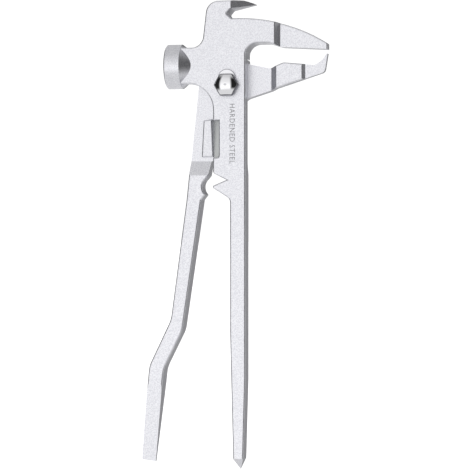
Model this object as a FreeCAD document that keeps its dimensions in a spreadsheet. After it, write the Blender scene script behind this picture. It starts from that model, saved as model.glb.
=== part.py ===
import FreeCAD, Part
import math
import os
import re
import Sketcher

# Balance weight pliers with a hammer head, a claw and a pry end, jaws closed at rest.
# Frame: millimetres, +Z up along the handles, front face towards -Y, jaws towards +X.
# The origin is on the pivot axis, on the plane where the two levers rub on each other.
# The hammer lever is the front layer at the joint (y < 0) and the pry lever the rear one (y > 0).
# Each dimension is an alias of the sheet. A size that ends in _left is measured to the left, towards -X,
# and one that ends in _drop or _top below the joint is measured downwards, as a positive number.

DIMENSIONS = {
    # thicknesses along Y
    "layer": 7.0, "rubbing_gap": 0.1, "handle_step": 3.0, "jaw_half": 3.5, "hook_half": 2.0,
    # pivot hardware
    "bolt_radius": 3.5, "bolt_play": 0.06, "spanner_flats": 11.0, "bolt_head_height": 4.4,
    "washer_play": 0.08, "lock_washer_radius": 5.0, "lock_washer_lobe": 4.5, "lock_washer_rise": 3.6,
    "lock_washer_thickness": 1.1, "rear_washer_radius": 7.0, "rear_washer_thickness": 1.2,
    "nut_height": 6.0, "collar_height": 2.0, "collar_wall": 1.1, "collar_play": 0.6, "thread_end": 1.2,
    # round boss of the pry lever and the recess over it
    "boss_radius": 16.0, "boss_clearance": 0.4, "recess_top": 5.0,
    # hammer
    "hammer_radius": 11.4, "hammer_height": 10.2, "hammer_reach": 32.3, "barrel_length": 8.0,
    "cone_length": 5.6, "hammer_rim": 0.6,
    # body and neck of the hammer lever
    "body_right": 9.4, "body_left": 7.3, "neck_half": 9.2, "neck_round": 6.0, "armpit_round": 13.5,
    "waist_left": 13.1, "head_left": 10.4, "head_height": 43.0, "head_round": 6.5,
    # claw
    "claw_reach": 14.4, "claw_tip_height": 41.0, "claw_start": 1.8, "claw_shoulder": 8.1,
    "claw_tip_half": 0.8, "claw_root": 1.6, "claw_root_height": 39.0, "claw_mouth": 5.2,
    # upper jaw
    "jaw_top": 33.9, "jaw_reach": 51.0, "jaw_tip_top": 20.6, "jaw_tip_bottom": 17.7,
    "throat_top": 21.3, "throat_round": 6.0, "jaw_step_start": 24.4, "jaw_step_length": 2.2,
    # lead cutter slot, notch and tooth of the hammer lever
    "slot_drop": 17.8, "slot_length": 19.0, "slot_depth": 3.0, "slot_round": 1.2,
    "notch_drop": 48.1, "notch_reach": 7.0, "tooth_drop": 51.5, "tooth_reach": 8.5,
    # grip of the hammer lever
    "grip_left": 1.5, "grip_straight": 126.0, "grip_length": 189.7, "grip_end_left": 3.1,
    "grip_end_right": 8.3, "spike_length": 5.6, "step_drop": 40.0, "step_length": 7.0,
    # lower jaw of the pry lever
    "lower_step_start": 21.6, "lower_step_length": 3.0, "lower_root_top": 8.6, "lower_jaw_top": 11.4,
    "hook_start": 37.8, "hook_step_length": 1.6, "hook_floor": 9.9, "hook_gap": 2.2,
    "hook_bottom": 6.2, "lower_edge_right": 8.0, "lower_edge_drop": 6.9, "hook_round": 2.6,
    # cutter block of the pry lever
    "block_gap": 0.9, "block_width": 4.4, "block_length": 19.2, "block_rise": 5.4,
    "block_end_rise": 1.4, "block_flare": 1.8,
    # pry handle
    "pry_left": 16.0, "pry_length": 192.3, "ramp_drop": 38.4, "ramp_length": 7.2,
    "pry_waist_left": 22.0, "pry_waist_drop": 58.3, "pry_width": 7.6, "crank_drop": 119.5,
    "crank_left": 30.2,
    "crank_end_drop": 143.3, "crank_end_left": 41.6, "pry_end_left": 46.3, "pry_end_width": 7.3,
    "pry_taper_length": 40.0, "pry_edge_half": 0.9, "thumb_notch_depth": 1.6, "thumb_notch_drop": 51.0,
    # roundings
    "edge_round": 0.8, "corner_round": 0.9, "bend_round": 14.0,
}

doc = FreeCAD.newDocument("balance_weight_pliers")
sheet = doc.addObject("Spreadsheet::Sheet", "sizes")
for row, (alias, value) in enumerate(DIMENSIONS.items(), start=1):
    sheet.set(f"A{row}", str(value))
    sheet.setAlias(f"A{row}", alias)
doc.recompute()


def formula(text):
    """The text with the sheet's name put before each alias in it."""
    def with_sheet(word):
        return "sizes." + word[0] if word[0] in DIMENSIONS else word[0]
    return re.sub(r"[a-z][a-z_]+", with_sheet, text)


def number(text):
    """What a formula of aliases comes to, in millimetres."""
    return float(sheet.evalExpression(text))


def new_body(name):
    """An empty body whose label names the piece."""
    body = doc.addObject("PartDesign::Body", name)
    body.Label = name
    return body


def new_sketch(body, name, role, offset="0"):
    """A sketch on one of the body's own origin planes, moved along the plane's normal by a formula."""
    sketch = body.newObject("Sketcher::SketchObject", name)
    plane = [item for item in body.Origin.OriginFeatures if item.Role == role][0]
    sketch.AttachmentSupport = [(plane, "")]
    sketch.MapMode = "FlatFace"
    if offset != "0":
        sketch.setExpression("AttachmentOffset.Base.z", formula(offset))
    doc.recompute()
    return sketch


def bind(sketch, kind, *place, to):
    """Adds one dimension to the sketch and binds it to a formula."""
    index = sketch.addConstraint(Sketcher.Constraint(kind, *place, number(to)))
    sketch.setExpression(f"Constraints[{index}]", formula(to))


def spot(corner):
    """The place of a corner, which is given by two formulas."""
    return FreeCAD.Vector(number(corner[0]), number(corner[1]), 0)


def draw_outline(sketch, corners):
    """A closed clockwise outline. A corner is (u, v), or (u, v, radius) where an outward arc leads to it."""
    spots = [spot(corner) for corner in corners]
    ends = []
    for index, corner in enumerate(corners):
        start, end = spots[index - 1], spots[index]
        if len(corner) == 2:
            item = sketch.addGeometry(Part.LineSegment(start, end))
        else:
            chord = end - start
            radius = abs(number(corner[2]))
            rise = radius - math.sqrt(radius ** 2 - chord.Length ** 2 / 4)
            side = FreeCAD.Vector(-chord.y, chord.x, 0).normalize()
            middle = (start + end) / 2 + side * math.copysign(rise, number(corner[2]))
            item = sketch.addGeometry(Part.Arc(start, middle, end))
        tail = 1 if sketch.getPoint(item, 1).isEqual(start, 1e-6) else 2
        ends.append((item, tail, 3 - tail))
    for index, corner in enumerate(corners):
        item, tail, tip = ends[index]
        bind(sketch, "DistanceX", -1, 1, item, tip, to=corner[0])
        bind(sketch, "DistanceY", -1, 1, item, tip, to=corner[1])
        before, _, before_tip = ends[index - 1]
        sketch.addConstraint(Sketcher.Constraint("Coincident", before, before_tip, item, tail))
        if len(corner) == 3:
            bind(sketch, "Radius", item, to=f"abs({corner[2]})")


def draw_circle(sketch, radius, u="0", v="0"):
    """A full circle with its centre at (u, v)."""
    item = sketch.addGeometry(Part.Circle(spot((u, v)), FreeCAD.Vector(0, 0, 1), number(radius)))
    bind(sketch, "DistanceX", -1, 1, item, 3, to=u)
    bind(sketch, "DistanceY", -1, 1, item, 3, to=v)
    bind(sketch, "Radius", item, to=radius)


def extrude(body, kind, name, sketch, length, side="One side", turned=False):
    """A Pad or Pocket of the sketch. It has to change the volume of the body in its own direction."""
    before = body.Shape.Volume if body.Tip else 0.0
    feature = body.newObject(f"PartDesign::{kind}", name)
    feature.Profile = sketch
    feature.SideType = side
    feature.Reversed = turned
    if length == "through":
        feature.Type = "ThroughAll"
    else:
        feature.setExpression("Length", formula(length))
    doc.recompute()
    change = body.Shape.Volume - before
    if abs(change) < 0.1 or (change > 0) != (kind == "Pad"):
        raise RuntimeError(f"{name} changed the volume by {change:.3f} mm3")
    return feature


def upright_edges(shape, place):
    """Names of the edges along Y at one place of the front view."""
    names = []
    for index, edge in enumerate(shape.Edges, start=1):
        box = edge.BoundBox
        if box.XLength < 1e-3 and box.ZLength < 1e-3:
            if math.hypot(box.XMin - place.x, box.ZMin - place.y) < 0.05:
                names.append(f"Edge{index}")
    return names


def round_corners(body, name, radius, corners):
    """Rounds corners of the front outline, each given by its two formulas."""
    base = body.Tip
    names = []
    for corner in corners:
        found = upright_edges(base.Shape, spot(corner))
        if not found:
            raise RuntimeError(f"{name} finds no edge at {corner}")
        names += found
    feature = body.newObject("PartDesign::Fillet", name)
    feature.Base = (base, names)
    feature.setExpression("Radius", formula(radius))
    doc.recompute()
    return feature


def soften(body, name, level, sharp=()):
    """Rounds the edges that lie in the plane y = level, but for those around the (x, z, reach) spots."""
    base = body.Tip
    height = number(level)
    names = []
    for index, edge in enumerate(base.Shape.Edges, start=1):
        box = edge.BoundBox
        if box.YLength > 1e-3 or abs(box.YMin - height) > 1e-3:
            continue
        middle = edge.valueAt((edge.FirstParameter + edge.LastParameter) / 2)
        gaps = [math.hypot(middle.x - number(x), middle.z - number(z)) - number(reach)
                for x, z, reach in sharp]
        if not gaps or min(gaps) > 0:
            names.append(f"Edge{index}")
    round_edges(body, name, base, names)


def round_edges(body, name, base, names):
    """Rounds the named edges. Where a changed size makes that impossible, they stay sharp."""
    feature = body.newObject("PartDesign::Fillet", name)
    feature.Base = (base, names)
    feature.setExpression("Radius", "sizes.edge_round")
    doc.recompute()
    if feature.Shape.isNull() or not feature.Shape.isValid():
        print(f"{name}: {len(names)} edges stay sharp")
        body.removeObject(feature)
        doc.removeObject(feature.Name)
        body.Tip = base
        doc.recompute()


# The pry lever's boss turns in this recess of the hammer lever.
RECESS = "boss_radius + boss_clearance"
BLOCK_TOP = "0 - slot_drop + 0.7"
BLOCK_RIGHT = "0 - body_left - block_gap"
GRIP_MIDDLE = "(handle_step - layer) / 2"
PRY_MIDDLE = "(layer - handle_step) / 2"
BEYOND = "layer + 1"
HEAD_SEAT = "layer + lock_washer_thickness"
NUT_SEAT = "layer + washer_play + rear_washer_thickness"
NUT_TOP = f"{NUT_SEAT} + nut_height + collar_height"


def barrel(body):
    """The round hammer: a cylinder with a bevelled rim, and a cone that runs into the flat neck."""
    sketch = new_sketch(body, "hammer_profile", "XZ_Plane")
    sketch.setExpression("AttachmentOffset.Base.y", formula("hammer_height"))
    inner_end = "0 - hammer_reach + barrel_length"
    draw_outline(sketch, [
        ("0 - hammer_reach", "0"),
        ("0 - hammer_reach", "hammer_radius - hammer_rim"),
        ("0 - hammer_reach + hammer_rim", "hammer_radius"),
        (inner_end, "hammer_radius"),
        (f"{inner_end} + cone_length", "layer - 0.1"),
        (f"{inner_end} + cone_length", "0")])
    feature = body.newObject("PartDesign::Revolution", "hammer")
    feature.Profile = sketch
    feature.ReferenceAxis = (sketch, ["H_Axis"])
    feature.Angle = 360
    doc.recompute()


def thin_jaw(body, name, start, stages):
    """Cuts the front and the back of a jaw down, seen from above, in ramps that run towards the tip."""
    for side, facing in (("front", "0 - "), ("back", "")):
        sketch = new_sketch(body, f"{name}_{side}_plan", "XY_Plane")
        corners = [(start, f"{facing}({BEYOND})"), (start, f"{facing}layer")]
        corners += [(u, f"{facing}({half})") for u, half in stages]
        corners += [("jaw_reach + 2", f"{facing}({stages[-1][1]})"), ("jaw_reach + 2", f"{facing}({BEYOND})")]
        draw_outline(sketch, corners)
        extrude(body, "Pocket", f"{name}_{side}", sketch, "6 * head_height", side="Symmetric")


def side_cut(body, name, corners):
    """Cuts right across the lever along X, by an outline of (y, z) corners."""
    sketch = new_sketch(body, f"{name}_side", "YZ_Plane")
    draw_outline(sketch, corners)
    extrude(body, "Pocket", name, sketch, "4 * jaw_reach", side="Symmetric")


def hammer_lever():
    """The front forging: hammer, claw, upper jaw, cutter slot, tooth and the grip with its spike."""
    body = new_body("hammer_lever")
    neck_top, neck_bottom = "hammer_height + neck_half", "hammer_height - neck_half"
    inside_barrel = "0 - hammer_reach + barrel_length - 1"
    slot_floor, slot_end = "0 - body_left + slot_depth", "0 - slot_drop - slot_length"
    jaw_drop = "(jaw_top - jaw_tip_top)"
    bow_start = "claw_root + 4"
    bow = f"((jaw_reach - ({bow_start}))^2 + {jaw_drop}^2) / (2 * {jaw_drop})"
    neck_corner = ("0 - waist_left", neck_top)
    head_corner = ("0 - head_left", "head_height")
    mouth = [("claw_root", "claw_root_height"), ("claw_root - 2.2", "claw_root_height - claw_mouth / 2"),
             ("claw_root + 0.5", "claw_root_height - claw_mouth")]
    throat_corner = ("body_right", "throat_top")
    jaw_belly = [("jaw_step_start + 3.1", "jaw_tip_bottom + 1.4"), ("jaw_step_start - 3.4", "throat_top")]
    grip_shoulder = ("grip_left", "0 - tooth_drop - 6.3")
    tooth_tip = ("0 - tooth_reach", "0 - tooth_drop")
    notch_corner = ("0 - body_left", "0 - notch_drop + 3.4")
    slot_corners = [(slot_floor, slot_end), (slot_floor, "0 - slot_drop")]
    armpit = ("0 - body_left", neck_bottom)
    sketch = new_sketch(body, "hammer_lever_outline", "XZ_Plane")
    draw_outline(sketch, [
        (inside_barrel, neck_bottom), (inside_barrel, neck_top), neck_corner, head_corner,
        ("claw_shoulder", "head_height"), ("claw_reach", "claw_tip_height", "2 * claw_reach"), *mouth,
        (bow_start, "jaw_top"), ("jaw_reach", "jaw_tip_top", bow),
        ("jaw_reach", "jaw_tip_bottom"), *jaw_belly, throat_corner,
        ("body_right", "0 - grip_straight - 24"), ("grip_end_right", "0 - grip_length"),
        ("(grip_end_left + grip_end_right) / 2 + 0.5", "0 - grip_length - spike_length"),
        ("grip_end_left", "0 - grip_length"), ("grip_left", "0 - grip_straight"), grip_shoulder, tooth_tip,
        ("0 - body_left + notch_reach", "0 - notch_drop"), notch_corner,
        ("0 - body_left", slot_end), *slot_corners, ("0 - body_left", "0 - slot_drop"), armpit])
    extrude(body, "Pad", "hammer_lever_blank", sketch, "2 * layer", side="Symmetric")
    round_corners(body, "head_corner", "head_round", [head_corner])
    round_corners(body, "neck_corner", "neck_round", [neck_corner])
    round_corners(body, "armpit", "armpit_round", [armpit])
    round_corners(body, "throat", "throat_round", [throat_corner])
    round_corners(body, "jaw_belly", "bend_round / 2", jaw_belly)
    round_corners(body, "slot_end", "slot_round", slot_corners[:1])
    round_corners(body, "tooth_tip", "corner_round",
                  [tooth_tip, mouth[1], mouth[2], ("jaw_reach", "jaw_tip_top")])
    round_corners(body, "grip_shoulder", "4 * corner_round", [grip_shoulder])
    round_corners(body, "notch_corner", "2 * corner_round", [notch_corner])
    recess = new_sketch(body, "recess_circle", "XZ_Plane", offset="rubbing_gap / 2")
    draw_circle(recess, RECESS)
    extrude(body, "Pocket", "boss_recess", recess, BEYOND)
    side_cut(body, "grip_back", [
        ("0 - rubbing_gap / 2", "recess_top"), (BEYOND, "recess_top"),
        (BEYOND, "0 - grip_length - spike_length - 1"), (GRIP_MIDDLE, "0 - grip_length - spike_length - 1"),
        (GRIP_MIDDLE, "0 - grip_length - spike_length"), ("handle_step", "0 - grip_length"),
        ("handle_step", "0 - step_drop - step_length"), ("0 - rubbing_gap / 2", "0 - step_drop")])
    side_cut(body, "spike_front", [
        ("0 - layer", "0 - grip_length"), (GRIP_MIDDLE, "0 - grip_length - spike_length"),
        (GRIP_MIDDLE, "0 - grip_length - spike_length - 1"),
        ("0 - layer - 1", "0 - grip_length - spike_length - 1"), ("0 - layer - 1", "0 - grip_length")])
    thin_jaw(body, "upper_jaw", "jaw_step_start", [("jaw_step_start + jaw_step_length", "jaw_half")])
    for side, facing in (("front", "0 - "), ("back", "")):
        plan = new_sketch(body, f"claw_{side}_plan", "XY_Plane", offset="jaw_top + 0.2")
        draw_outline(plan, [("claw_start", f"{facing}layer"), ("claw_reach", f"{facing}claw_tip_half"),
                            ("claw_reach + 1", f"{facing}claw_tip_half"),
                            ("claw_reach + 1", f"{facing}({BEYOND})"),
                            ("claw_start", f"{facing}({BEYOND})")])
        extrude(body, "Pocket", f"claw_{side}", plan, "head_height", turned=True)
    mouth_end = ("claw_root - 2.2", "claw_root_height - claw_mouth / 2", "1.2 * claw_mouth")
    recess_rim = [(f"0 - 0.35 * ({RECESS})", f"0.94 * ({RECESS})", "boss_radius / 4"),
                  ("body_right", f"sqrt(({RECESS})^2 - body_right^2) + 1.2", "1.2")]
    soften(body, "grip_back_edges", "handle_step")
    soften(body, "front_edges", "0 - layer", [mouth_end])
    soften(body, "back_edges", "layer", [mouth_end, *recess_rim])
    jaw_underside = [("jaw_step_start + 3.1", "jaw_tip_bottom + 1.4", "1.5"), ("(jaw_step_start + jaw_reach + 3.1) / 2", "jaw_tip_bottom + 0.7", "1")]
    soften(body, "jaw_front_edges", "0 - jaw_half", jaw_underside)
    soften(body, "jaw_back_edges", "jaw_half", jaw_underside)
    barrel(body)
    bore = new_sketch(body, "bolt_circle", "XZ_Plane")
    draw_circle(bore, "bolt_radius")
    extrude(body, "Pocket", "bolt_hole", bore, "3 * layer", side="Symmetric")
    return body


def pry_lever():
    """The rear forging: lower jaw with its hook, boss, cutter block, cranked handle and pry end."""
    body = new_body("pry_lever")
    waist = ("0 - pry_waist_left", "0 - pry_waist_drop")
    crank = [("0 - crank_left", "0 - crank_drop"), ("0 - crank_end_left", "0 - crank_end_drop")]
    inner_crank = [("0 - crank_left + 6", "0 - crank_drop - 5.5"),
                   ("0 - crank_end_left + 7.7", "0 - crank_end_drop - 1.3")]
    neck_right = "0 - body_left - block_gap - 2.4"
    neck_top = ("0 - body_left - block_gap - 1.2", "0 - ramp_drop")
    root_corner = ("body_right + 0.1", "lower_root_top + 2.5")
    jaw_bends = [("lower_step_start", "lower_root_top"), ("lower_step_start + 6.6", "lower_jaw_top")]
    hook_heel = ("jaw_reach - 1.7", "hook_bottom")
    hidden_bends = [("lower_edge_right", "0 - lower_edge_drop"),
                    ("0 - body_left + slot_depth + 0.8", "0 - ramp_drop + 2")]
    sketch = new_sketch(body, "pry_lever_outline", "XZ_Plane")
    draw_outline(sketch, [
        ("0 - boss_radius", "0"), ("0", "boss_radius", "boss_radius"),
        ("0.58 * boss_radius", "sqrt(1 - 0.58^2) * boss_radius", "boss_radius"), root_corner, *jaw_bends,
        ("hook_start + 1", "lower_jaw_top - 1"), ("hook_start + 5.8", "hook_floor"),
        ("jaw_reach - 0.9", "jaw_tip_bottom - hook_gap", "0 - 10"),
        ("jaw_reach - 0.2", "jaw_tip_bottom - hook_gap"),
        hook_heel, *hidden_bends, neck_top, (neck_right, "0 - ramp_drop - ramp_length"),
        (f"{neck_right} - 1.4", "0 - thumb_notch_drop + 3.6"),
        (f"{neck_right} - 1.6", "0 - thumb_notch_drop - 4.4", "0 - 5.4"),
        ("0 - pry_waist_left + pry_width", "0 - pry_waist_drop"), *inner_crank,
        ("0 - pry_end_left + pry_end_width", "0 - pry_length - 0.5"),
        ("0 - pry_end_left", "0 - pry_length + 0.5"),
        crank[1], crank[0], waist])
    extrude(body, "Pad", "pry_lever_blank", sketch, "2 * layer", side="Symmetric")
    round_corners(body, "crank_bends", "bend_round", crank + inner_crank)
    round_corners(body, "jaw_bends", "bend_round / 3", jaw_bends)
    round_corners(body, "hook_heel", "hook_round", [hook_heel])
    round_corners(body, "hidden_bends", "bend_round / 3", hidden_bends[:1])
    plan = new_sketch(body, "joint_plan", "XY_Plane", offset="0 - lower_edge_drop - 1")
    step_end = "lower_step_start + lower_step_length"
    draw_outline(plan, [
        ("0 - 2 * boss_radius", f"0 - ({BEYOND})"), ("0 - 2 * boss_radius", "rubbing_gap / 2"),
        ("lower_step_start", "rubbing_gap / 2"), (step_end, "0 - jaw_half"),
        ("jaw_reach + 2", "0 - jaw_half"), ("jaw_reach + 2", f"0 - ({BEYOND})")])
    extrude(body, "Pocket", "joint_front", plan, "2 * boss_radius", turned=True)
    side_cut(body, "handle_front", [
        ("rubbing_gap / 2", "0 - lower_edge_drop - 1"), ("rubbing_gap / 2", "0 - ramp_drop"),
        ("0 - handle_step", "0 - ramp_drop - ramp_length"),
        ("0 - handle_step", "0 - pry_length + pry_taper_length"),
        (f"{PRY_MIDDLE} - pry_edge_half", "0 - pry_length"),
        (f"{PRY_MIDDLE} - pry_edge_half", "0 - pry_length - 2"),
        (f"0 - ({BEYOND})", "0 - pry_length - 2"), (f"0 - ({BEYOND})", "0 - lower_edge_drop - 1")])
    side_cut(body, "pry_end_back", [
        ("layer", "0 - pry_length + pry_taper_length"), (BEYOND, "0 - pry_length + pry_taper_length"),
        (BEYOND, "0 - pry_length - 2"), (f"{PRY_MIDDLE} + pry_edge_half", "0 - pry_length - 2"),
        (f"{PRY_MIDDLE} + pry_edge_half", "0 - pry_length")])
    back = new_sketch(body, "lower_jaw_back_plan", "XY_Plane")
    draw_outline(back, [
        ("lower_step_start", "layer"), ("lower_step_start", BEYOND), ("jaw_reach + 2", BEYOND),
        ("jaw_reach + 2", "jaw_half"), (step_end, "jaw_half")])
    extrude(body, "Pocket", "lower_jaw_back", back, "6 * head_height", side="Symmetric")
    thin_hook(body)
    cutter_block(body)
    soften_block(body)
    soften(body, "front_edges", "0 - handle_step")
    soften(body, "jaw_front_edges", "0 - jaw_half")
    soften(body, "jaw_back_edges", "jaw_half")
    soften(body, "back_edges", "layer", [
        ("0", "0", "boss_radius + 8"),
        ("0 - (pry_waist_left - pry_width + crank_left - 6) / 2",
         "0 - (pry_waist_drop + crank_drop + 5.5) / 2", "3"),
        ("0 - (crank_left + crank_end_left) / 2 + 6.9",
         "0 - (crank_drop + crank_end_drop) / 2 - 3.4", "16")])
    bore = new_sketch(body, "bolt_circle", "XZ_Plane")
    draw_circle(bore, "bolt_radius + bolt_play")
    extrude(body, "Pocket", "bolt_hole", bore, "3 * layer", side="Symmetric")
    return body


def thin_hook(body):
    """The hook end of the lower jaw is thinner than the jaw, on both sides."""
    for side, facing in (("front", "0 - "), ("back", "")):
        plan = new_sketch(body, f"hook_{side}_plan", "XY_Plane")
        draw_outline(plan, [
            ("hook_start", f"{facing}jaw_half"), ("hook_start + hook_step_length", f"{facing}hook_half"),
            ("jaw_reach + 2", f"{facing}hook_half"), ("jaw_reach + 2", f"{facing}({BEYOND})"),
            ("hook_start", f"{facing}({BEYOND})")])
        extrude(body, "Pocket", f"hook_{side}", plan, "6 * head_height", side="Symmetric")


def cutter_block(body):
    """The raised block that shears lead against the slot. Its front slopes back towards the handle."""
    front = new_sketch(body, "block_outline", "XZ_Plane", offset="0 - 1")
    block_left = f"{BLOCK_RIGHT} - block_width"
    draw_outline(front, [
        (block_left, f"{BLOCK_TOP} - 0.7"), (BLOCK_RIGHT, BLOCK_TOP),
        (BLOCK_RIGHT, f"{BLOCK_TOP} - block_length"),
        (f"{block_left} - block_flare", f"{BLOCK_TOP} - block_length")])
    extrude(body, "Pad", "cutter_block", front, "block_rise + 1")
    side_cut(body, "block_slope", [
        ("0 - block_rise", BLOCK_TOP), ("0 - block_end_rise", f"{BLOCK_TOP} - block_length"),
        (f"0 - ({BEYOND})", f"{BLOCK_TOP} - block_length"), (f"0 - ({BEYOND})", BLOCK_TOP)])


def soften_block(body):
    """Rounds the edges of the cutter block's sloped front: those that lie wholly in front of the joint."""
    base = body.Tip
    names = [f"Edge{index}" for index, edge in enumerate(base.Shape.Edges, start=1)
             if edge.BoundBox.YMax < number("0.1 - block_end_rise") and edge.BoundBox.XMax < 0
             and edge.BoundBox.ZMin > number(f"{BLOCK_TOP} - block_length - 0.1")]
    round_edges(body, "block_edges", base, names)


def hexagon(sketch, flats):
    """A hexagon of the given width over its flats, with a corner towards each side."""
    corner = f"{flats} / sqrt(3)"
    draw_outline(sketch, [
        (f"0 - {corner}", "0"), (f"0 - {corner} / 2", f"{flats} / 2"), (f"{corner} / 2", f"{flats} / 2"),
        (corner, "0"), (f"{corner} / 2", f"0 - {flats} / 2"), (f"0 - {corner} / 2", f"0 - {flats} / 2")])


def groove(body, name, corners):
    """Turns an outline of (x, y) corners round the pivot axis and cuts it away."""
    sketch = new_sketch(body, f"{name}_profile", "XY_Plane")
    draw_outline(sketch, corners)
    before = body.Shape.Volume
    feature = body.newObject("PartDesign::Groove", name)
    feature.Profile = sketch
    feature.ReferenceAxis = (sketch, ["V_Axis"])
    feature.Angle = 360
    doc.recompute()
    if body.Shape.Volume > before - 0.01:
        raise RuntimeError(f"{name} cut nothing")


def pivot_bolt():
    """The bolt: a polished domed hexagon head with a centre mark, and a shank up to past the lock nut."""
    body = new_body("pivot_bolt")
    head = new_sketch(body, "head_hexagon", "XZ_Plane", offset=HEAD_SEAT)
    hexagon(head, "spanner_flats")
    extrude(body, "Pad", "bolt_head", head, "bolt_head_height")
    shank = new_sketch(body, "shank_circle", "XZ_Plane", offset=f"{HEAD_SEAT} + 1")
    draw_circle(shank, "bolt_radius")
    extrude(body, "Pad", "bolt_shank", shank, f"{HEAD_SEAT} + 1 + {NUT_TOP} + thread_end", turned=True)
    top = f"0 - ({HEAD_SEAT} + bolt_head_height)"
    reach = "(spanner_flats * 0.62)"
    groove(body, "head_dome", [
        ("0", top), (reach, f"{top} + 2.2", "3 * bolt_radius"), (reach, f"{top} - 1"), ("0", f"{top} - 1")])
    groove(body, "centre_mark", [("0", f"{top} - 0.5"), ("0.9", f"{top} - 0.5"), ("0", f"{top} + 0.9")])
    groove(body, "thread_bevel", [
        ("bolt_radius - 0.7", f"{NUT_TOP} + thread_end"),
        ("bolt_radius - 0.7", f"{NUT_TOP} + thread_end + 0.5"),
        ("bolt_radius + 0.5", f"{NUT_TOP} + thread_end + 0.5"),
        ("bolt_radius + 0.5", f"{NUT_TOP} + thread_end - 1.2")])
    return body


def lock_washer():
    """The washer under the bolt head, with a round lobe upwards that keeps the bolt's setting."""
    body = new_body("lock_washer")
    rims = (("disc", "lock_washer_radius", "0"), ("lobe", "lock_washer_lobe", "lock_washer_rise"))
    for name, radius, rise in rims:
        rim = new_sketch(body, f"lock_washer_{name}_rim", "XZ_Plane", offset="layer")
        draw_circle(rim, radius, v=rise)
        extrude(body, "Pad", f"lock_washer_{name}", rim, "lock_washer_thickness")
    hole = new_sketch(body, "lock_washer_hole", "XZ_Plane", offset="layer")
    draw_circle(hole, "bolt_radius")
    extrude(body, "Pocket", "lock_washer_bore", hole, "2 * lock_washer_thickness", turned=True)
    return body


def ring(name, outer, inner, seat, thickness):
    """A flat ring round the pivot axis."""
    body = new_body(name)
    rim = new_sketch(body, f"{name}_rim", "XZ_Plane", offset=seat)
    draw_circle(rim, outer)
    extrude(body, "Pad", f"{name}_disc", rim, thickness)
    hole = new_sketch(body, f"{name}_hole", "XZ_Plane", offset=seat)
    draw_circle(hole, inner)
    extrude(body, "Pocket", f"{name}_bore", hole, f"2 * ({thickness})", turned=True)
    return body


def lock_nut():
    """The hexagon nut behind the pry lever, with a round collar that holds its locking ring."""
    body = new_body("lock_nut")
    front = f"0 - ({NUT_SEAT})"
    flats = new_sketch(body, "nut_hexagon", "XZ_Plane", offset=front)
    hexagon(flats, "spanner_flats")
    extrude(body, "Pad", "nut_prism", flats, "nut_height", turned=True)
    collar = new_sketch(body, "collar_circle", "XZ_Plane", offset=front)
    draw_circle(collar, "bolt_radius + collar_play + collar_wall")
    extrude(body, "Pad", "nut_collar", collar, "nut_height + collar_height", turned=True)
    hole = new_sketch(body, "nut_circle", "XZ_Plane", offset=front)
    draw_circle(hole, "bolt_radius")
    extrude(body, "Pocket", "nut_bore", hole, "2 * (nut_height + collar_height)")
    seat = new_sketch(body, "ring_seat_circle", "XZ_Plane", offset=f"{front} - nut_height")
    draw_circle(seat, "bolt_radius + collar_play")
    extrude(body, "Pocket", "ring_seat", seat, "collar_height + 1")
    corner = "(spanner_flats * 0.5)"
    groove(body, "nut_bevel", [
        (corner, f"{NUT_SEAT} + nut_height"), (f"{corner} + 1.5", f"{NUT_SEAT} + nut_height"),
        (f"{corner} + 1.5", f"{NUT_SEAT} + nut_height - 0.8")])
    return body


def check_document():
    """Stops when an object of the document failed or a piece is not one sound solid."""
    for item in doc.Objects:
        if "Invalid" in item.State or "Error" in item.State:
            raise RuntimeError(f"{item.Name} failed: {item.State}")
    for piece in pieces:
        if piece.Shape.isNull() or not piece.Shape.isValid() or len(piece.Shape.Solids) != 1:
            raise RuntimeError(f"{piece.Label} is not one valid solid")


def write_parts():
    """Writes each piece to its own STEP file, named by its label."""
    os.makedirs("parts", exist_ok=True)
    for piece in pieces:
        piece.Shape.exportStep(f"parts/{piece.Label}.step")
        box = piece.Shape.BoundBox
        print(f"{piece.Label}: {piece.Shape.Volume:.0f} mm3, x {box.XMin:.2f} {box.XMax:.2f}, "
              f"y {box.YMin:.2f} {box.YMax:.2f}, z {box.ZMin:.2f} {box.ZMax:.2f}")


pieces = [
    hammer_lever(),
    pry_lever(),
    pivot_bolt(),
    lock_washer(),
    ring("rear_washer", "rear_washer_radius", "bolt_radius", f"0 - ({NUT_SEAT})", "rear_washer_thickness"),
    lock_nut(),
    ring("locking_ring", "bolt_radius + collar_play", "bolt_radius",
         f"0 - ({NUT_TOP} - 0.2)", "collar_height - 0.2"),
]
doc.recompute()
check_document()
write_parts()
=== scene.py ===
"""Wheel weight pliers: looks, lettering and turned details around the fixed CAD frame.

Every piece is in metres, in the frame of the CAD model: +Z up along the handles, the front face towards
-Y, the jaws towards +X and the origin on the pivot axis.
"""

import logging
import math
from dataclasses import dataclass
from enum import Enum

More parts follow.
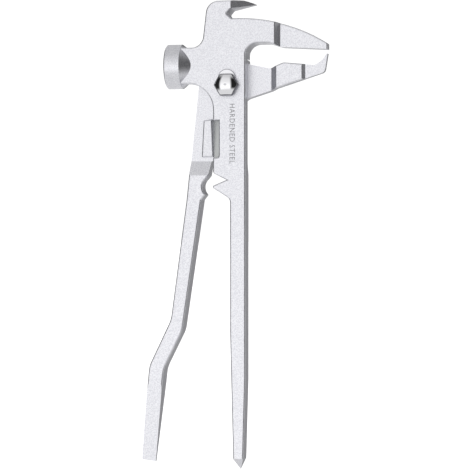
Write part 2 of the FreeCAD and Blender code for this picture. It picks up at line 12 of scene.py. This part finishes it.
import bmesh
import bpy
import numpy as np
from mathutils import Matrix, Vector

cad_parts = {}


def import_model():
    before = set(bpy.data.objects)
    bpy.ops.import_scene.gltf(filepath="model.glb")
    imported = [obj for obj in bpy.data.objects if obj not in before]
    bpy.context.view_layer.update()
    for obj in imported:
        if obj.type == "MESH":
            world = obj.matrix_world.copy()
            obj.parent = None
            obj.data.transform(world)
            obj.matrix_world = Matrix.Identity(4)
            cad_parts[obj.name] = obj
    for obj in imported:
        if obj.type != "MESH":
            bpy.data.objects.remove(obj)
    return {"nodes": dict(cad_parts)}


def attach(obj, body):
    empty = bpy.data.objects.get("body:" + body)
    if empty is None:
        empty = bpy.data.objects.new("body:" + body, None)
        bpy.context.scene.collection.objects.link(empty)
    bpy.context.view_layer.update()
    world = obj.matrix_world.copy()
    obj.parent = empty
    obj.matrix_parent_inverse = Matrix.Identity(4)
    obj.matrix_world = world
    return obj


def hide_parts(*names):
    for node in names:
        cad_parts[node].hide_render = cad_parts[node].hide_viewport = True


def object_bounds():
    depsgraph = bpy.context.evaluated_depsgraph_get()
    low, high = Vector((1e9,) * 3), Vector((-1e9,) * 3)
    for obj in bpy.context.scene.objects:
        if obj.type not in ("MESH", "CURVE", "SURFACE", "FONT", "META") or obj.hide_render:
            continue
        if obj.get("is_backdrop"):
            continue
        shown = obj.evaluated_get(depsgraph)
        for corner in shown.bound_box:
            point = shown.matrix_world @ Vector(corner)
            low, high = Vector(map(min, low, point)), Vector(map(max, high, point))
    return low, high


log = logging.getLogger("wheel_weight_pliers")
MM = 0.001
PER_METRE = 1000.0
Colour = tuple[float, float, float]
Socket = bpy.types.NodeSocket


class Reading(Enum):
    """The turn of a line of lettering on the front face, in degrees from level."""

    DOWNWARDS = -90.0
    UPWARDS = 90.0


# ---------------------------------------------------------------- node helpers


def new_group(name: str, inputs: dict[str, float], outputs: tuple[str, ...]) -> bpy.types.NodeTree:
    """Makes an empty shader node group whose sockets are all single values.

    Args:
        name: the group's name.
        inputs: each input with its default value.
        outputs: the name of each output.

    Returns:
        The node tree, with nodes called Ins and Outs at its ends.
    """
    group = bpy.data.node_groups.new(name, "ShaderNodeTree")
    for label, value in inputs.items():
        socket = group.interface.new_socket(label, in_out="INPUT", socket_type="NodeSocketFloat")
        socket.default_value = value
    for label in outputs:
        group.interface.new_socket(label, in_out="OUTPUT", socket_type="NodeSocketFloat")
    group.nodes.new("NodeGroupInput").name = "Ins"
    group.nodes.new("NodeGroupOutput").name = "Outs"
    return group


def arithmetic(tree: bpy.types.NodeTree, operation: str, *values: float | Socket) -> Socket:
    """Adds a Math node.

    Args:
        tree: the tree that gets the node.
        operation: what the node does.
        values: a number or a socket for each input.

    Returns:
        The node's result.
    """
    node = tree.nodes.new("ShaderNodeMath")
    node.operation = operation
    for index, value in enumerate(values):
        if isinstance(value, bpy.types.NodeSocket):
            tree.links.new(value, node.inputs[index])
        else:
            node.inputs[index].default_value = value
    return node.outputs[0]


def smooth_step(tree: bpy.types.NodeTree, source: Socket, stops: tuple[float, ...]) -> Socket:
    """A smooth ramp between two values of a source.

    Args:
        tree: the tree that gets the node.
        source: what the ramp reads.
        stops: the source's lower and upper value, then the result at each.

    Returns:
        The ramp's result.
    """
    node = tree.nodes.new("ShaderNodeMapRange")
    node.interpolation_type = "SMOOTHSTEP"
    for label, value in zip(("From Min", "From Max", "To Min", "To Max"), stops):
        node.inputs[label].default_value = value
    tree.links.new(source, node.inputs["Value"])
    return node.outputs[0]


def object_place(tree: bpy.types.NodeTree) -> Socket:
    """The place on the piece, in metres."""
    return tree.nodes.new("ShaderNodeTexCoord").outputs["Object"]


def object_axes(tree: bpy.types.NodeTree) -> tuple[Socket, Socket, Socket]:
    """The place on the piece, split into x, y and z.

    Args:
        tree: the tree that gets the nodes.

    Returns:
        One socket for each axis, in metres.
    """
    split = tree.nodes.new("ShaderNodeSeparateXYZ")
    tree.links.new(object_place(tree), split.inputs[0])
    return split.outputs["X"], split.outputs["Y"], split.outputs["Z"]


def sized_noise(tree: bpy.types.NodeTree, size: Socket, detail: float, rough: float) -> Socket:
    """A noise over the place on the piece, with features of a given size.

    Args:
        tree: the tree that gets the nodes.
        size: the size of the features, in millimetres.
        detail: how many octaves the noise has.
        rough: how much each finer octave counts.

    Returns:
        The noise, about 0.5 on the average.
    """
    texture = tree.nodes.new("ShaderNodeTexNoise")
    texture.inputs["Detail"].default_value = detail
    texture.inputs["Roughness"].default_value = rough
    tree.links.new(object_place(tree), texture.inputs["Vector"])
    tree.links.new(arithmetic(tree, "DIVIDE", PER_METRE, size), texture.inputs["Scale"])
    return texture.outputs["Fac"]


def blend_colours(tree: bpy.types.NodeTree, mask: Socket, below: Colour | Socket, above: Colour) -> Socket:
    """Lays one colour over another through a mask.

    Args:
        tree: the tree that gets the node.
        mask: 0 where the lower colour shows and 1 where the upper one does.
        below: the lower colour, as a value or a socket.
        above: the upper colour.

    Returns:
        The blended colour.
    """
    mix = tree.nodes.new("ShaderNodeMix")
    mix.data_type = "RGBA"
    tree.links.new(mask, mix.inputs["Factor"])
    if isinstance(below, bpy.types.NodeSocket):
        tree.links.new(below, mix.inputs["A"])
    else:
        mix.inputs["A"].default_value = (*below, 1.0)
    mix.inputs["B"].default_value = (*above, 1.0)
    return mix.outputs["Result"]


def new_material(
    name: str, metallic: float
) -> tuple[bpy.types.Material, bpy.types.NodeTree, bpy.types.Node]:
    """Makes a material with one Principled shader.

    Args:
        name: the material's name.
        metallic: 1 for a metal and 0 for anything else.

    Returns:
        The material, its node tree and its shader.
    """
    material = bpy.data.materials.new(name)
    material.use_nodes = True
    shader = material.node_tree.nodes["Principled BSDF"]
    shader.inputs["Metallic"].default_value = metallic
    return material, material.node_tree, shader


# ---------------------------------------------------------------- shared effects


def forged_skin_group() -> bpy.types.NodeTree:
    """The skin of a blasted and plated forging: a fine grain over a slow swell.

    Its height is the grain plus a share of the swell, and its roughness follows the grain.

    Returns:
        A group that puts out the skin's height, its roughness and a fine speckle.
    """
    group = new_group(
        "forged_skin",
        {"Grain Size": 0.55, "Swell Size": 9.0, "Swell Share": 0.5, "Roughness": 0.4,
         "Roughness Spread": 0.1},
        ("Height", "Roughness", "Speckle"),
    )
    ins, outs = group.nodes["Ins"], group.nodes["Outs"]
    grain = sized_noise(group, ins.outputs["Grain Size"], detail=2.5, rough=0.6)
    swell = sized_noise(group, ins.outputs["Swell Size"], detail=3.0, rough=0.5)
    speckle_stops = (0.35, 0.65, 0.0, 1.0)
    height = arithmetic(group, "MULTIPLY_ADD", swell, ins.outputs["Swell Share"], grain)
    spread = arithmetic(group, "MULTIPLY", arithmetic(group, "SUBTRACT", grain, 0.5),
                        ins.outputs["Roughness Spread"])
    group.links.new(height, outs.inputs["Height"])
    group.links.new(arithmetic(group, "ADD", ins.outputs["Roughness"], spread), outs.inputs["Roughness"])
    group.links.new(smooth_step(group, grain, speckle_stops), outs.inputs["Speckle"])
    return group


def painted_slot_shade_group() -> bpy.types.NodeTree:
    """Painted shade for the slot: a thin layer at the joint plane, between two limits, where the pry
    lever's face shows deep in the hammer lever's slot and is darkened to stand in for its shade.

    All its inputs are in millimetres.

    Returns:
        A group that puts out a mask, 1 where the slot's shade is painted.
    """
    group = new_group(
        "painted_slot_shade",
        {"Plane": 0.0, "Reach": 0.12, "Left Limit": -8.3, "Right Limit": 9.2},
        ("Mask",),
    )
    ins, outs = group.nodes["Ins"], group.nodes["Outs"]
    x, y = (arithmetic(group, "MULTIPLY", axis, PER_METRE) for axis in object_axes(group)[:2])
    near = arithmetic(group, "COMPARE", y, ins.outputs["Plane"], ins.outputs["Reach"])
    inside = arithmetic(group, "MULTIPLY", arithmetic(group, "GREATER_THAN", x, ins.outputs["Left Limit"]),
                        arithmetic(group, "LESS_THAN", x, ins.outputs["Right Limit"]))
    group.links.new(arithmetic(group, "MULTIPLY", near, inside), outs.inputs["Mask"])
    return group


# ---------------------------------------------------------------- finishes


@dataclass(frozen=True)
class PlatedForging:
    """Satin nickel and chrome over a blasted forging: pale, pearly, and very slightly lilac, with painted
    shade at the floor of the slot.

    The grain and the height of the bump are in millimetres.
    """

    skin: bpy.types.NodeTree
    slot_shade: bpy.types.NodeTree
    name: str = "plated_forging"
    light: Colour = (0.87, 0.872, 0.905)
    dark: Colour = (0.69, 0.692, 0.735)
    # Painted shade: the grey laid on the faces at the joint plane, standing in for the shade at the floor
    # of the slot.
    painted_shade: Colour = (0.46, 0.47, 0.47)
    roughness: float = 0.36
    grain: float = 0.55
    bump: float = 0.5
    bump_height: float = 0.05

    def material(self) -> bpy.types.Material:
        """Builds the material.

        Returns:
            The finished material.
        """
        material, tree, shader = new_material(self.name, metallic=1.0)
        skin = tree.nodes.new("ShaderNodeGroup")
        skin.node_tree = self.skin
        skin.inputs["Grain Size"].default_value = self.grain
        skin.inputs["Roughness"].default_value = self.roughness
        slot_shade = tree.nodes.new("ShaderNodeGroup")
        slot_shade.node_tree = self.slot_shade
        tint = blend_colours(tree, skin.outputs["Speckle"], self.dark, self.light)
        # Paints the slot's shade: the grey replaces the plated colour on the faces at the joint plane.
        slot_shaded = blend_colours(tree, slot_shade.outputs["Mask"], tint, self.painted_shade)
        tree.links.new(slot_shaded, shader.inputs["Base Color"])
        tree.links.new(skin.outputs["Roughness"], shader.inputs["Roughness"])
        bump = tree.nodes.new("ShaderNodeBump")
        bump.inputs["Strength"].default_value = self.bump
        bump.inputs["Distance"].default_value = self.bump_height * MM
        tree.links.new(skin.outputs["Height"], bump.inputs["Height"])
        tree.links.new(bump.outputs["Normal"], shader.inputs["Normal"])
        return material


@dataclass(frozen=True)
class PlainFinish:
    """A smooth finish of one colour, metal or plastic, which may shine by itself."""

    name: str
    colour: Colour
    roughness: float
    metallic: float = 1.0
    glow: float = 0.0

    def material(self) -> bpy.types.Material:
        """Builds the material.

        Returns:
            The finished material.
        """
        material, _, shader = new_material(self.name, self.metallic)
        shader.inputs["Base Color"].default_value = (*self.colour, 1.0)
        shader.inputs["Roughness"].default_value = self.roughness
        shader.inputs["Emission Color"].default_value = (1.0, 1.0, 1.0, 1.0)
        shader.inputs["Emission Strength"].default_value = self.glow
        return material


@dataclass(frozen=True)
class WasherWithPaintedRim:
    """A bright washer whose round lobe has a dark line of shade painted round its rim. Sizes are in
    millimetres.
    """

    name: str = "bright_washer"
    bright: Colour = (0.86, 0.86, 0.885)
    # Painted shade: the grey of the line painted round the lobe's rim.
    rim: Colour = (0.36, 0.36, 0.39)
    roughness: float = 0.34
    lobe_height: float = 3.6
    lobe_radius: float = 4.5
    rim_width: float = 0.5
    rim_blend: float = 0.2

    def material(self) -> bpy.types.Material:
        """Builds the material. The painted rim shade is where the distance from the lobe's middle comes
        near its radius.

        Returns:
            The finished material.
        """
        material, tree, shader = new_material(self.name, metallic=1.0)
        shader.inputs["Roughness"].default_value = self.roughness
        x, _, z = object_axes(tree)
        rise = arithmetic(tree, "SUBTRACT", z, self.lobe_height * MM)
        square = arithmetic(tree, "MULTIPLY_ADD", x, x, arithmetic(tree, "MULTIPLY", rise, rise))
        reach = arithmetic(tree, "SQRT", square)
        start = (self.lobe_radius - self.rim_width) * MM
        mask = smooth_step(tree, reach, (start, start + self.rim_blend * MM, 0.0, 1.0))
        # Paints the rim's shade over the bright colour.
        tree.links.new(blend_colours(tree, mask, self.bright, self.rim), shader.inputs["Base Color"])
        return material


# ---------------------------------------------------------------- new meshes


def grid_mesh(name: str, points: np.ndarray, material: bpy.types.Material) -> bpy.types.Object:
    """Makes a closed piece turned round an axis: rows of points along a profile, each row a closed loop.

    The first and the last row are closed by a fan to their own middle. Seen from the first row's end
    each loop runs anticlockwise, so every face looks outwards.

    Args:
        name: the object's name.
        points: an array of shape (rows, steps, 3), in metres.
        material: the piece's finish.

    Returns:
        The object, at the origin.
    """
    rows, steps, _ = points.shape
    first, last = points[0].mean(axis=0), points[-1].mean(axis=0)
    verts = np.concatenate([points.reshape(-1, 3), first[None], last[None]])
    row, step = np.meshgrid(np.arange(rows - 1), np.arange(steps), indexing="ij")
    here, beside = row * steps + step, row * steps + (step + 1) % steps
    quads = np.stack([here, here + steps, beside + steps, beside], axis=-1).reshape(-1, 4)
    ring = np.arange(steps)
    after = (ring + 1) % steps
    base = (rows - 1) * steps
    fan_a = np.stack([ring, after, np.full(steps, rows * steps)], axis=-1)
    fan_b = np.stack([base + after, base + ring, np.full(steps, rows * steps + 1)], axis=-1)
    mesh = bpy.data.meshes.new(name)
    mesh.from_pydata(verts.tolist(), [], quads.tolist() + fan_a.tolist() + fan_b.tolist())
    mesh.validate()
    mesh.polygons.foreach_set("use_smooth", np.ones(len(mesh.polygons), dtype=bool))
    mesh.materials.append(material)
    return place_mesh(name, mesh)


def place_mesh(name: str, mesh: bpy.types.Mesh) -> bpy.types.Object:
    """Makes an object of a mesh, at the origin.

    Args:
        name: the object's name.
        mesh: its mesh, already in place.

    Returns:
        The object.
    """
    piece = bpy.data.objects.new(name, mesh)
    bpy.context.collection.objects.link(piece)
    return piece


def rounded_hexagon(angle: np.ndarray, flats: float, blunt: float) -> np.ndarray:
    """The radius of a hexagon with a corner at angle 0, as a function of the angle.

    Over each sixth the side is straight: half the flats over the cosine of the angle from the side's
    middle. The corner is blunted by a soft minimum with the corner's own radius less the bluntness.

    Args:
        angle: angles round the axis.
        flats: the width over the flats.
        blunt: how much is taken off each corner.

    Returns:
        The radius at each angle.
    """
    sixth = math.pi / 3
    within = np.mod(angle, sixth) - sixth / 2
    side = flats / 2 / np.cos(within)
    limit = flats / math.sqrt(3) - blunt
    sharpness = 90.0 / flats
    return -np.log(np.exp(-sharpness * side) + np.exp(-sharpness * limit)) / sharpness


# ---------------------------------------------------------------- sub-assemblies


@dataclass
class PivotBolt:
    """The polished bolt: a domed hexagon head, a shank and a threaded end behind the lock nut.

    Sizes are in millimetres. The rings are shares of the head's radius, from its middle to its rim.
    """

    metal: bpy.types.Material
    # Painted shade for the head's rim bevel and flats.
    shaded_edge: bpy.types.Material
    flats: float = 11.0
    corner_blunt: float = 0.02
    seat: float = -8.1
    seat_bevel: float = 0.12
    head_height: float = 4.1
    dome_radius: float = 9.3
    dimple_radius: float = 0.4125
    dimple_depth: float = 0.55
    rim_bevel: float = 0.5
    rim_slope: float = 1.3
    shank_radius: float = 3.5
    thread_lead: float = 0.05
    thread_start: float = 15.0
    thread_pitch: float = 1.0
    thread_depth: float = 0.28
    thread_end: float = 16.9
    root_depth: float = 0.35
    end: float = 17.4
    end_bevel: float = 0.4
    rings: tuple[float, ...] = (
        0.004, 0.045, 0.07, 0.09, 0.13, 0.17, 0.22, 0.27, 0.32, 0.37, 0.43, 0.49, 0.55, 0.61, 0.67, 0.73,
        0.79, 0.85, 0.9, 0.94, 0.97, 1.0)
    steps: int = 180

    def build(self) -> bpy.types.Object:
        """Builds the bolt as one turned grid, with a dark band painted round the head's rim bevel and flats
        as their shade.

        Returns:
            The finished piece.
        """
        angle = np.linspace(0.0, 2 * math.pi, self.steps, endpoint=False)
        head_y, head_r = self.head(rounded_hexagon(angle, self.flats, self.corner_blunt))
        shank_y, shank_r = self.shank()
        y = np.concatenate([head_y, np.repeat(shank_y[:, None], self.steps, axis=1)])
        r = np.concatenate([head_r, np.repeat(shank_r[:, None], self.steps, axis=1)])
        points = np.stack([r * np.cos(angle), y, r * np.sin(angle)], axis=-1)
        bolt = grid_mesh("pivot_bolt_turned", points * MM, self.metal)
        bolt.data.materials.append(self.shaded_edge)
        row = np.arange(len(bolt.data.polygons)) // self.steps
        # The rows of the rim bevel, the flats and the seat bevel get the painted shade.
        shaded_edge = (row >= len(self.rings) - 1) & (row < len(head_y) - 1)
        bolt.data.polygons.foreach_set("material_index", shaded_edge.astype(np.int32))
        return bolt

    def head(self, hexagon: np.ndarray) -> tuple[np.ndarray, np.ndarray]:
        """The head's rings: ever larger hexagons at a sphere's height, then the bevel, flats and seat.

        The dome so runs into the six flats along curved chamfers. The dimple in its middle is a bell
        curve of the fourth power.

        Args:
            hexagon: the head's radius at each angle.

        Returns:
            The y and the radius of each ring at each angle, in millimetres.
        """
        radius = np.array(self.rings)[:, None] * (hexagon - self.rim_bevel)[None, :]
        rise = self.dome_radius - np.sqrt(self.dome_radius ** 2 - radius ** 2)
        sink = self.dimple_depth * np.exp(-(radius / self.dimple_radius) ** 4)
        dome = self.seat - self.head_height + rise + sink
        flats_y = np.full_like(hexagon, self.seat - self.seat_bevel)
        y = np.stack([dome[-1] + self.rim_slope * self.rim_bevel, flats_y, flats_y + self.seat_bevel])
        return (np.concatenate([dome, y]),
                np.concatenate([radius, [hexagon, hexagon, hexagon - self.seat_bevel]]))

    def shank(self) -> tuple[np.ndarray, np.ndarray]:
        """The shank's rings: plain up to the nut, then fine ridges, each a raised cosine of the pitch.

        Returns:
            The y of each ring and its radius, in millimetres.
        """
        ridge_y = np.arange(self.thread_start, self.thread_end, self.thread_pitch / 8)
        turns = (ridge_y - self.thread_start) / self.thread_pitch
        ridge_r = self.shank_radius - self.thread_depth * (0.5 + 0.5 * np.cos(2 * math.pi * turns))
        root = self.shank_radius - self.root_depth
        y = np.concatenate([[self.seat, self.thread_start - self.thread_lead], ridge_y,
                            [self.end - self.end_bevel, self.end]])
        r = np.concatenate([[self.shank_radius, self.shank_radius], ridge_r, [root, root - self.end_bevel]])
        return y, r


@dataclass
class Inscription:
    """A line of stamped capitals on the front of the hammer lever, in millimetres, drawn as thin letters
    whose grey is the strokes' shade painted on.

    The line starts at a given x and z and runs the way its reading says.
    """

    # Painted shade: the grey that stands in for the shade inside the stamped strokes.
    painted_stroke_shade: bpy.types.Material
    words: str = "HARDENED STEEL"
    start: tuple[float, float] = (1.3, -9.6)
    length: float = 30.3
    height: float = 2.8
    face: float = -7.0
    proud: float = 0.012
    rooted: float = 0.03
    letter_space: float = 1.12
    reading: Reading = Reading.DOWNWARDS

    def build(self) -> bpy.types.Object:
        """Builds the line as thin closed letters rooted in the face, coloured with the painted shade of the
        stamped strokes.

        Each point's share of the drafted line's box, along, across and through it, is carried over to
        the line's length, its height and its thickness.

        Returns:
            The finished piece.
        """
        mesh = self.draft()
        points = np.zeros(len(mesh.vertices) * 3)
        mesh.vertices.foreach_get("co", points)
        points = points.reshape(-1, 3)
        low, high = points.min(axis=0), points.max(axis=0)
        share = (points - low) / (high - low)
        along, across = share[:, 0] * self.length, share[:, 1] * self.height
        turn = math.radians(self.reading.value)
        x = self.start[0] + along * math.cos(turn) - across * math.sin(turn)
        z = self.start[1] + along * math.sin(turn) + across * math.cos(turn)
        y = self.face + self.rooted - share[:, 2] * (self.rooted + self.proud)
        mesh.vertices.foreach_set("co", (np.stack([x, y, z], axis=-1) * MM).ravel())
        mesh.update()
        mesh.materials.clear()
        mesh.materials.append(self.painted_stroke_shade)
        return place_mesh("inscription", mesh)

    def draft(self) -> bpy.types.Mesh:
        """Writes the words at the origin, with some thickness, and closes the letters' seams.

        Returns:
            The mesh of the words.
        """
        curve = bpy.data.curves.new("inscription", "FONT")
        curve.body = self.words
        curve.resolution_u = 2
        curve.space_character = self.letter_space
        curve.extrude = 0.05
        draft = bpy.data.objects.new("inscription_draft", curve)
        bpy.context.collection.objects.link(draft)
        bpy.context.view_layer.update()
        evaluated = draft.evaluated_get(bpy.context.evaluated_depsgraph_get())
        mesh = bpy.data.meshes.new_from_object(evaluated)
        mesh.name = "inscription"
        bpy.data.objects.remove(draft)
        weld = bmesh.new()
        weld.from_mesh(mesh)
        bmesh.ops.remove_doubles(weld, verts=weld.verts, dist=1e-5)
        weld.to_mesh(mesh)
        weld.free()
        return mesh


# ---------------------------------------------------------------- stage


@dataclass
class Studio:
    """Camera, floor and light round a tool whose lowest point is given.

    Lengths are in metres, angles in degrees and the sensor in millimetres. Each wall is an angle and the
    light there. Each set of stops is a lower and an upper value of a direction's rise, which is 1
    straight up, and then the result at each.
    """

    lowest: float
    azimuth: float = 11.0
    distance: float = 0.95
    aim: tuple[float, float, float] = (0.0028, 0.0, -0.0761)
    view_height: float = 0.240
    sensor: float = 36.0
    floor_gap: float = 0.0003
    floor_radius: float = 30.0
    floor_steps: int = 96
    floor_thickness: float = 0.02
    sky: float = 1.1
    walls: tuple[tuple[float, float], ...] = (
        (0, 1.19), (29, 1.17), (42, 0.02), (74, 0.02), (86, 0.27), (124, 0.27), (135, 0.95), (153, 0.95),
        (164, 0.18), (180, 0.18))
    wall_limit: float = 2.0
    tilt_stops: tuple[float, ...] = (-0.5, 0.6, 1.2, 0.75)
    top_stops: tuple[float, ...] = (0.55, 0.95, 0.0, 1.0)
    top_light: float = 0.65
    floor_stops: tuple[float, ...] = (-0.2, -0.55, 0.0, 1.0)
    floor_light: float = 0.8

    def back(self) -> Vector:
        """The level direction from the object to the camera."""
        angle = math.radians(self.azimuth)
        return Vector((math.sin(angle), -math.cos(angle), 0.0))

    def camera(self) -> None:
        """Makes the camera, level with the middle of the tool and a little to its right."""
        data = bpy.data.cameras.new("camera")
        data.sensor_width = self.sensor
        data.lens = self.sensor * self.distance / self.view_height
        camera = bpy.data.objects.new("camera", data)
        bpy.context.collection.objects.link(camera)
        camera.location = Vector(self.aim) + self.back() * self.distance
        camera.rotation_mode = "QUATERNION"
        camera.rotation_quaternion = (-self.back()).to_track_quat("-Z", "Y")
        bpy.context.scene.camera = camera

    def floor(self) -> None:
        """Makes a plain pale floor under the spike's point, as a wide round slab."""
        angle = np.linspace(0.0, 2 * math.pi, self.floor_steps, endpoint=False)
        rim = np.stack([self.floor_radius * np.cos(angle), self.floor_radius * np.sin(angle),
                        np.full_like(angle, self.lowest - self.floor_gap)], axis=-1)
        points = np.stack([rim, rim - np.array([0.0, 0.0, self.floor_thickness])])
        paint = PlainFinish("pale_floor", (0.9, 0.9, 0.9), 0.9, metallic=0.0, glow=0.9).material()
        floor = grid_mesh("floor", points, paint)
        floor.visible_glossy = False
        floor.visible_diffuse = False
        floor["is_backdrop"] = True

    def world(self) -> None:
        """A white sky for the camera, and for the metal a studio of soft walls.

        The walls' strength follows the angle from where the flat front mirrors the camera: a bright wall
        there, a black card beside it on each hand, grey sides, and a bright wall on each hand at the
        back. The pale floor shines from below and a soft top from above.
        """
        world = bpy.data.worlds.new("studio")
        bpy.context.scene.world = world
        world.use_nodes = True
        tree = world.node_tree
        place = tree.nodes.new("ShaderNodeTexCoord")
        split = tree.nodes.new("ShaderNodeSeparateXYZ")
        tree.links.new(place.outputs["Generated"], split.inputs[0])
        x, y, z = (split.outputs[label] for label in ("X", "Y", "Z"))
        turned = math.radians(self.azimuth)
        sine, cosine = math.sin(turned), math.cos(turned)
        across = arithmetic(tree, "MULTIPLY_ADD", x, cosine, arithmetic(tree, "MULTIPLY", y, -sine))
        towards = arithmetic(tree, "MULTIPLY_ADD", x, -sine, arithmetic(tree, "MULTIPLY", y, -cosine))
        turn = arithmetic(tree, "ARCTAN2", arithmetic(tree, "ABSOLUTE", across), towards)
        walls = tree.nodes.new("ShaderNodeFloatCurve")
        curve = walls.mapping.curves[0]
        spots = [(angle / 180.0, light / self.wall_limit) for angle, light in self.walls]
        curve.points[0].location = spots[0]
        curve.points[1].location = spots[-1]
        for spot in spots[1:-1]:
            curve.points.new(*spot)
        for point in curve.points:
            point.handle_type = "VECTOR"
        walls.mapping.update()
        tree.links.new(arithmetic(tree, "DIVIDE", turn, math.pi), walls.inputs["Value"])
        strength = arithmetic(tree, "MULTIPLY", walls.outputs[0], self.wall_limit)
        light = arithmetic(tree, "MULTIPLY", strength, smooth_step(tree, z, self.tilt_stops))
        for stops, glow in ((self.top_stops, self.top_light), (self.floor_stops, self.floor_light)):
            share = smooth_step(tree, z, stops)
            kept = arithmetic(tree, "MULTIPLY", light, arithmetic(tree, "SUBTRACT", 1.0, share))
            light = arithmetic(tree, "MULTIPLY_ADD", share, glow, kept)
        path = tree.nodes.new("ShaderNodeLightPath")
        pick = tree.nodes.new("ShaderNodeMix")
        pick.data_type = "FLOAT"
        pick.inputs["B"].default_value = self.sky
        tree.links.new(path.outputs["Is Camera Ray"], pick.inputs["Factor"])
        tree.links.new(light, pick.inputs["A"])
        background = tree.nodes["Background"]
        tree.links.new(pick.outputs["Result"], background.inputs["Strength"])
        background.inputs["Color"].default_value = (1.0, 1.0, 1.0, 1.0)

    def build(self) -> None:
        """Builds the camera, the floor and the light."""
        self.camera()
        self.floor()
        self.world()
        bpy.context.scene.view_settings.view_transform = "Standard"


def main() -> None:
    """Builds every piece in order."""
    logging.basicConfig(level=logging.INFO, format="%(message)s")
    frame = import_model()
    cad_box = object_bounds()
    Studio(lowest=cad_box[0][2]).build()
    log.info("set up the studio")
    # The forging's second group paints shade at the floor of the slot.
    forging = PlatedForging(forged_skin_group(), painted_slot_shade_group()).material()
    polished = PlainFinish("polished_bolt", (0.86, 0.86, 0.88), 0.05).material()
    finishes = {
        "hammer_lever": forging,
        "pry_lever": forging,
        # The washer's lobe has a painted line of shade round its rim.
        "lock_washer": WasherWithPaintedRim().material(),
        "rear_washer": PlainFinish("rear_washer_zinc", (0.8, 0.8, 0.82), 0.3).material(),
        "lock_nut": PlainFinish("zinc_nut", (0.72, 0.73, 0.75), 0.25).material(),
        "locking_ring": PlainFinish("nylon_ring", (0.13, 0.28, 0.62), 0.4, metallic=0.0).material(),
    }
    for node, material in finishes.items():
        mesh = frame["nodes"][node].data
        mesh.materials.clear()
        mesh.materials.append(material)
        log.info("dressed %s", node)
    # Painted shade: a dark colour on the bolt head's rim bevel and flats.
    painted_edge_shade = PlainFinish("bolt_edge_painted_shade", (0.2, 0.2, 0.22), 0.3).material()
    bolt = PivotBolt(polished, painted_edge_shade).build()
    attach(bolt, "hammer_side")
    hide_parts("pivot_bolt")
    log.info("built the pivot bolt")
    # Painted shade: the grey of the stamped letters stands in for the shade in their strokes.
    painted_stroke_shade = PlainFinish("stamped_line_painted_shade", (0.34, 0.34, 0.36), 0.6, metallic=0.0).material()
    stamp = Inscription(painted_stroke_shade).build()
    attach(stamp, "hammer_side")
    log.info("built the inscription")


if __name__ == "__main__":
    main()
